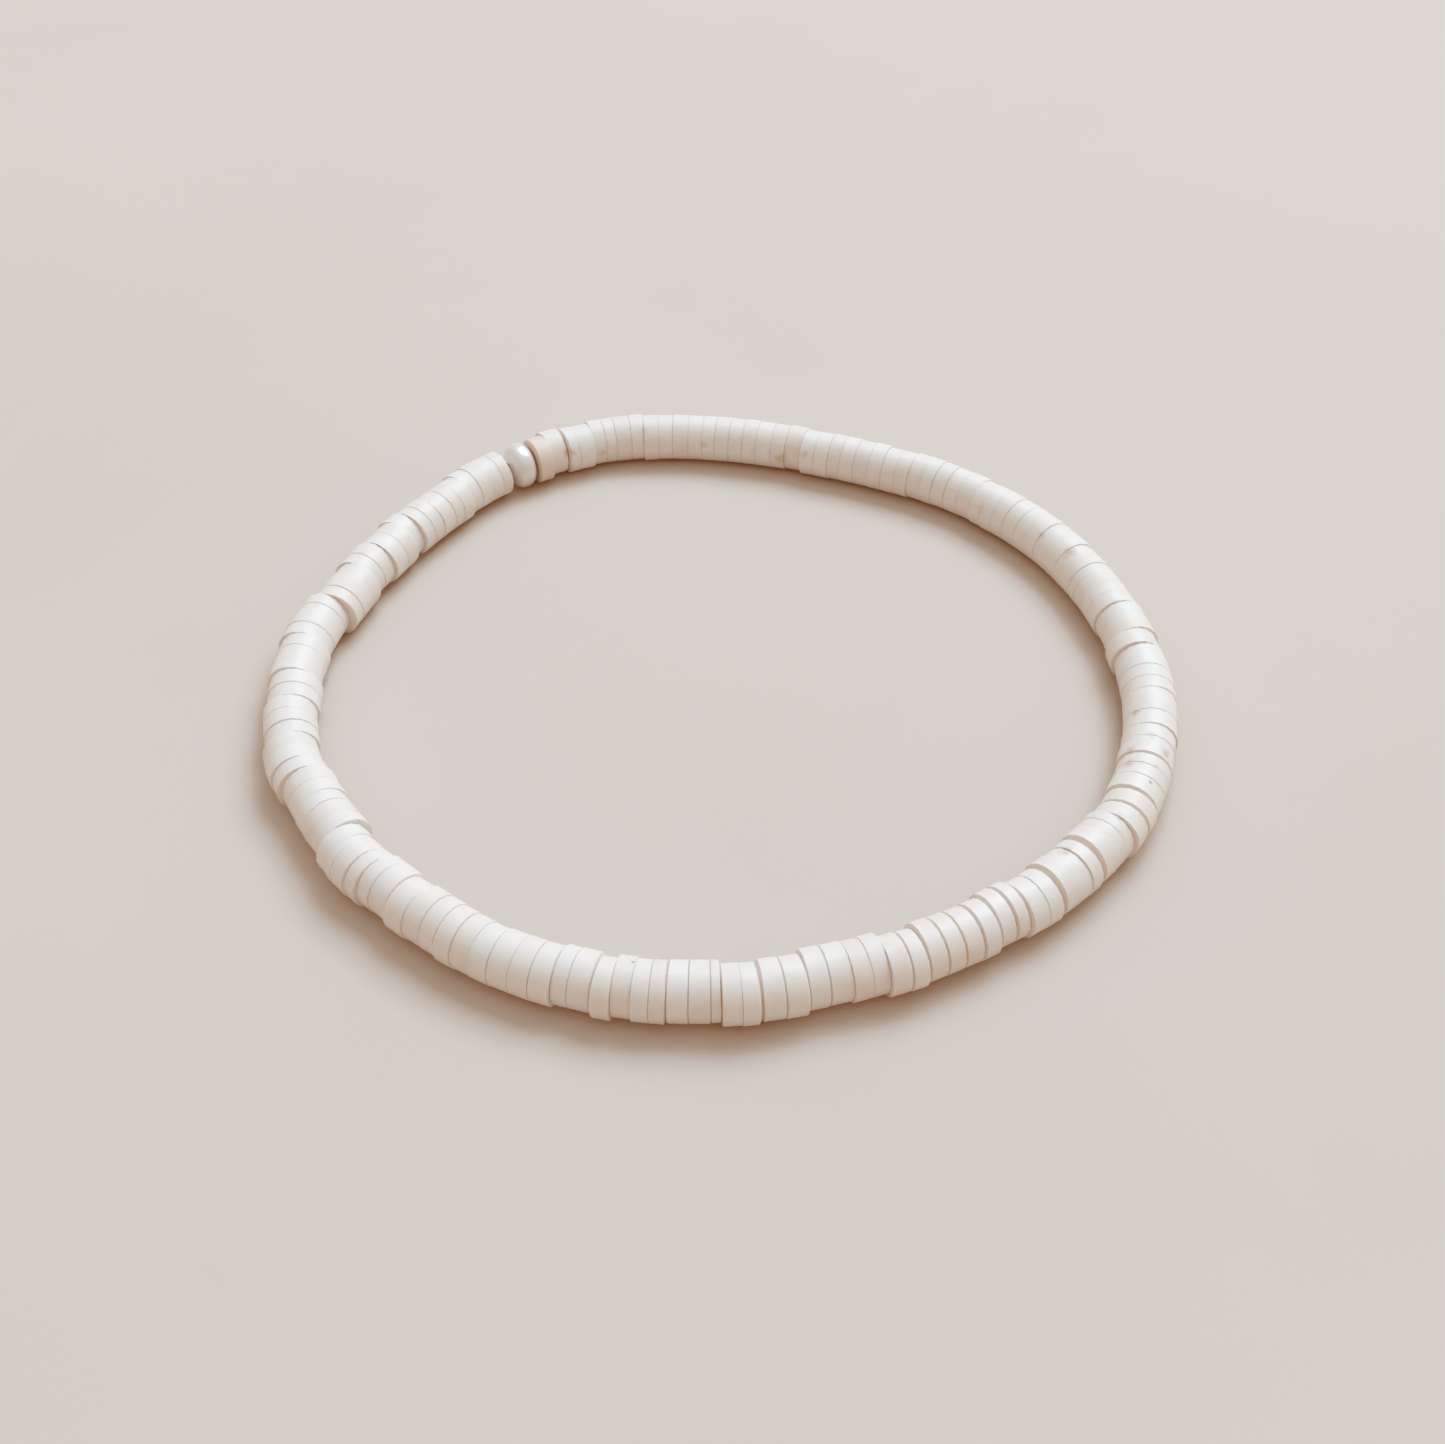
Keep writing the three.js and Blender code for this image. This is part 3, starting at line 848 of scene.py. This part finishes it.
def develop(view):
    """A plain picture whose shadows turn warm: green and blue fall a little faster than red."""
    view.view_transform = "Standard"
    view.use_curve_mapping = True
    for curve, pairs in zip(view.curve_mapping.curves[1:3], (GREEN_CURVE, BLUE_CURVE)):
        for light_in, light_out in pairs:
            curve.points.new(light_in, light_out)
    view.curve_mapping.update()


def room_light(settings):
    """Light from all round: the ceiling's colour above, which turns into the walls' lower down. The
    camera itself sees a plain backdrop."""
    world = bpy.data.worlds.new("room")
    world.use_nodes = True
    tree = world.node_tree
    place = add_node(tree, "ShaderNodeTexCoord").outputs["Generated"]
    height = add_node(tree, "ShaderNodeSeparateXYZ", {"Vector": place}).outputs["Z"]
    upper = add_node(tree, "ShaderNodeMapRange", {
        "Value": height, "From Min": 0.1, "From Max": 0.75}, interpolation_type="SMOOTHSTEP")
    colour = mix_colour(tree, upper.outputs["Result"], settings.wall_colour,
                        settings.ceiling_colour)
    seen = add_node(tree, "ShaderNodeLightPath").outputs["Is Camera Ray"]
    background = tree.nodes["Background"]
    tree.links.new(mix_colour(tree, seen, colour, settings.backdrop_colour),
                   background.inputs["Color"])
    background.inputs["Strength"].default_value = settings.room_strength
    return world


# Pieces

class BRACELET_OT_string_discs(bpy.types.Operator):
    """String the clay discs round the loop"""

    bl_idname = "bracelet.string_discs"
    bl_label = "String the discs"

    def execute(self, context):
        settings = context.scene.heishi_discs
        rng = np.random.default_rng(RANDOM_SEED)
        discs = string_discs(settings, context.scene.knot_bead.length)
        points, normals, end_face = disc_surfaces(discs, settings, rng)
        count, rings, around = points.shape[:3]
        tone = np.clip(rng.normal(WARMTH, WARMTH_SCATTER, count), 0, WARMTH_MOST)
        # Painted shade: the last disc, sunk between the bead and its neighbour, is painted warm
        tone[-1] = LAST_DISC_PAINTED_SHADE
        piece = make_piece(
            "heishi_discs", points, ring_quads(count, rings, around), normals,
            clay_material(settings),
            tone=np.broadcast_to(tone[:, None, None], (count, rings, around)),
            end_face=end_face)
        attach(piece, "root")
        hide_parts("bead_string")
        return {"FINISHED"}


class BRACELET_OT_run_cord(bpy.types.Operator):
    """Run the elastic cord through the discs and the pearly bead"""

    bl_idname = "bracelet.run_cord"
    bl_label = "Run the cord"

    def execute(self, context):
        settings = context.scene.elastic_cord
        discs = string_discs(context.scene.heishi_discs, context.scene.knot_bead.length)
        points, normals = cord_surface(discs, settings)
        rings, around = points.shape[:2]
        piece = make_piece("elastic_cord", points, ring_quads(1, rings, around), normals,
                           elastic_material(settings))
        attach(piece, "root")
        return {"FINISHED"}


def cord_surface(discs, settings):
    """The cord as a closed tube: a circle carried along the line through the middles of the discs'
    faces, square to the way to the next middle."""
    along, _ = directions(discs["heading"])
    half = along * discs["thickness"][:, None] / 2
    path = np.stack((discs["centre"] - half, discs["centre"] + half), axis=1).reshape(-1, 2)
    ahead = np.roll(path, -1, axis=0) - np.roll(path, 1, axis=0)
    ahead /= np.linalg.norm(ahead, axis=1)[:, None]
    aside = np.stack((ahead[:, 1], -ahead[:, 0]), axis=1)
    angle = TURN * np.arange(settings.around) / settings.around
    normals = np.zeros((len(path), settings.around, 3))
    normals[..., :2] = aside[:, None] * np.cos(angle)[None, :, None]
    normals[..., 2] = np.sin(angle)
    points = normals * settings.diameter / 2
    points[..., :2] += path[:, None]
    points[..., 2] += cad_box[1].z / 2
    return points, normals


class BRACELET_OT_set_knot_bead(bpy.types.Operator):
    """Set the pearly bead over the cord's knot"""

    bl_idname = "bracelet.set_knot_bead"
    bl_label = "Set the knot bead"

    def execute(self, context):
        settings = context.scene.knot_bead
        discs = string_discs(context.scene.heishi_discs, settings.length)
        bore = context.scene.elastic_cord.diameter / 2 + KNOT_BEAD_BORE_CLEARANCE
        points, normals = bead_surface(discs, settings, bore)
        rings, around = points.shape[:2]
        piece = make_piece("pearl_bead", points, ring_quads(1, rings, around), normals,
                           pearl_material(settings))
        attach(piece, "root")
        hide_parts("knot_bead")
        return {"FINISHED"}


def bead_surface(discs, settings, bore, steps=28, bore_steps=5):
    """The bead as rings round its axis: the radius follows (1 - x^n)^(1/n) of its share x of half
    the length, from one mouth of the bore to the other, and comes back along the bore."""
    power = KNOT_BEAD_FULLNESS
    reach = (1 - (bore / (settings.diameter / 2)) ** power) ** (1 / power)
    share = reach * np.sin(math.pi * (np.arange(steps + 1) / steps - 0.5))
    full = (1 - np.abs(share) ** power) ** (1 / power)
    back = np.linspace(reach, -reach, bore_steps + 2)[1:-1]
    radius = np.concatenate((settings.diameter / 2 * full, np.full(bore_steps, bore)))
    depth = np.concatenate((share, back)) * settings.length / 2
    slope_out = np.sign(share) * np.abs(share) ** (power - 1) / (settings.length / 2)
    slope_up = full ** (power - 1) / (settings.diameter / 2)
    steep = np.hypot(slope_out, slope_up)
    normal_out = np.concatenate((slope_out / steep, np.zeros(bore_steps)))
    normal_up = np.concatenate((slope_up / steep, -np.ones(bore_steps)))

    along, _ = directions(discs["heading"])
    half = along * discs["thickness"][:, None] / 2
    first = (discs["centre"] - half)[0]
    last = (discs["centre"] + half)[-1]
    way = (first - last) / np.linalg.norm(first - last)
    aside = np.array((way[1], -way[0]))
    angle = TURN * np.arange(settings.around) / settings.around
    circle = np.stack((aside[0] * np.cos(angle), aside[1] * np.cos(angle), np.sin(angle)), axis=1)
    axis = np.array((*way, 0))
    points = circle[None] * radius[:, None, None] + axis * depth[:, None, None]
    points[..., :2] += (first + last) / 2
    points[..., 2] += settings.diameter / 2 + KNOT_BEAD_LIFT
    normals = circle[None] * normal_up[:, None, None] + axis * normal_out[:, None, None]
    return points, normals


class BRACELET_OT_lay_stage(bpy.types.Operator):
    """Lay the pale surface, hang the light and place the camera"""

    bl_idname = "bracelet.lay_stage"
    bl_label = "Lay the stage"

    def execute(self, context):
        settings = context.scene.bracelet_stage
        scene = context.scene
        develop(scene.view_settings)

        mesh = bpy.data.meshes.new("floor")
        corners = [(FLOOR_REACH * x, FLOOR_REACH * y, 0)
                   for x, y in ((-1, -1), (1, -1), (1, 1), (-1, 1))]
        mesh.from_pydata(corners, [], [(0, 1, 2, 3)])
        mesh.materials.append(surface_material(settings))
        floor = bpy.data.objects.new("floor", mesh)
        scene.collection.objects.link(floor)

        window = bpy.data.lights.new("window", "AREA")
        window.shape = "RECTANGLE"
        window.size, window.size_y = WINDOW_SIZE
        window.energy = settings.window_power
        window.color = settings.window_colour
        lamp = bpy.data.objects.new("window", window)
        lamp.location = WINDOW_PLACE
        lamp.rotation_euler = (-lamp.location).to_track_quat("-Z", "Y").to_euler()
        scene.collection.objects.link(lamp)

        scene.world = room_light(settings)

        lens = bpy.data.cameras.new("camera")
        lens.sensor_width = SENSOR_WIDTH
        lens.lens = FOCAL_PIXELS / PHOTO_WIDTH * SENSOR_WIDTH
        lens.clip_start = NEAREST_SEEN
        camera = bpy.data.objects.new("camera", lens)
        camera.location = CAMERA_PLACE
        camera.rotation_euler = (math.radians(90 - CAMERA_DIP), 0, 0)
        scene.collection.objects.link(camera)
        scene.camera = camera
        return {"FINISHED"}


class BRACELET_PT_panel(bpy.types.Panel):
    """The bracelet's sizes, colours and pieces"""

    bl_idname = "BRACELET_PT_panel"
    bl_label = "Heishi bracelet"
    bl_space_type = "VIEW_3D"
    bl_region_type = "UI"
    bl_category = "Bracelet"

    def draw(self, context):
        for name, operator in (
                ("heishi_discs", BRACELET_OT_string_discs), ("elastic_cord", BRACELET_OT_run_cord),
                ("knot_bead", BRACELET_OT_set_knot_bead), ("bracelet_stage", BRACELET_OT_lay_stage)):
            box = self.layout.box()
            settings = getattr(context.scene, name)
            for key in type(settings).__annotations__:
                box.prop(settings, key)
            box.operator(operator.bl_idname)


SETTINGS = {"heishi_discs": HeishiDiscSettings, "elastic_cord": ElasticCordSettings,
            "knot_bead": KnotBeadSettings, "bracelet_stage": StageSettings}
CLASSES = (*SETTINGS.values(), BRACELET_OT_string_discs, BRACELET_OT_run_cord,
           BRACELET_OT_set_knot_bead, BRACELET_OT_lay_stage, BRACELET_PT_panel)


def register():
    for each in CLASSES:
        bpy.utils.register_class(each)
    for name, group in SETTINGS.items():
        setattr(bpy.types.Scene, name, PointerProperty(type=group))


def unregister():
    for name in SETTINGS:
        delattr(bpy.types.Scene, name)
    for each in reversed(CLASSES):
        bpy.utils.unregister_class(each)


def main():
    register()
    bpy.ops.bracelet.lay_stage()
    bpy.ops.bracelet.string_discs()
    bpy.ops.bracelet.run_cord()
    bpy.ops.bracelet.set_knot_bead()
    bpy.context.view_layer.update()


if __name__ == "__main__":
    main()
